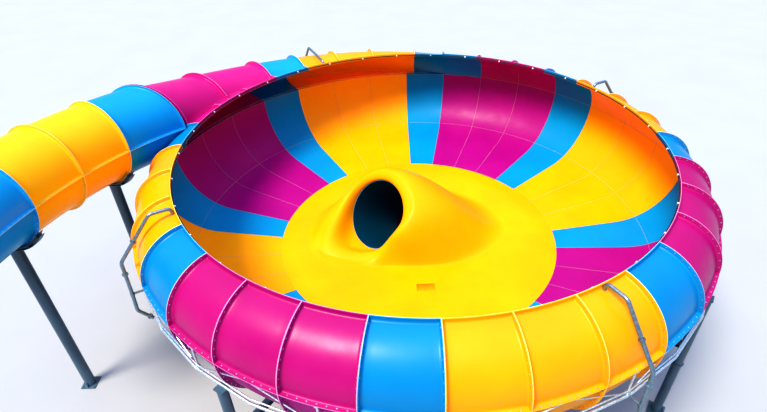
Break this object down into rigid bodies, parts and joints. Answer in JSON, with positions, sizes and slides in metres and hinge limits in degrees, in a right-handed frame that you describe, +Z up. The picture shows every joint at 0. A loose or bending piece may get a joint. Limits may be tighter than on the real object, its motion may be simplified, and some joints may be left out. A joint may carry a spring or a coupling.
{
  "type": "raft bowl water slide",
  "caption": "Round fibreglass slide bowl in coloured panels with ribs, a covered feed tube running into its rim, a hooded exit in the floor with a tube below, and a steel support frame.",
  "frame": {"origin": "middle of the footprint, on the ground", "axes": "+Z up, +X to the right of the picture, +Y away from the camera; the bowl's axis stands at X = 2.531 m"},
  "size_m": [27.0722, 22.3998, 11.1662],
  "materials": {
    "yellow": "glossy gelcoat",
    "magenta": "glossy gelcoat",
    "blue": "glossy gelcoat",
    "galvanised": "hot-dip galvanised",
    "slate": "satin paint"
  },
  "bodies": {
    "root": {"centre_disc": "yellow", "column_1": "slate", "column_2": "slate", "column_3": "slate", "column_4": "slate", "column_5": "slate", "column_6": "slate", "column_7": "slate", "column_8": "slate", "entry_hood_1": "blue", "entry_hood_2": "magenta", "exit_hood": "yellow", "exit_saddle": "slate", "exit_tube_1": "blue", "exit_tube_2": "magenta", "feed_column_1": "slate", "feed_column_2": "slate", "feed_tube_1": "blue", "feed_tube_2": "yellow", "feed_tube_3": "yellow", "feed_tube_4": "blue", "floor_row_1": "yellow", "floor_row_2": "magenta", "floor_row_3": "yellow", "floor_row_4": "magenta", "ring_frame": "galvanised", "under_frame": "slate", "upper_ring_1": "yellow", "upper_ring_2": "magenta", "upper_ring_3": "yellow", "upper_ring_4": "magenta", "upper_ring_5": "yellow", "upper_ring_6": "magenta", "wall_row_1": "yellow", "wall_row_2": "magenta", "wall_row_3": "yellow", "wall_row_4": "magenta", "wall_row_5": "yellow", "wall_row_6": "magenta", "wall_row_7": "yellow", "wall_row_8": "magenta", "water_pipe_1": "galvanised", "water_pipe_2": "galvanised", "water_pipe_3": "galvanised", "water_pipe_4": "galvanised"}
  },
  "joints": []
}
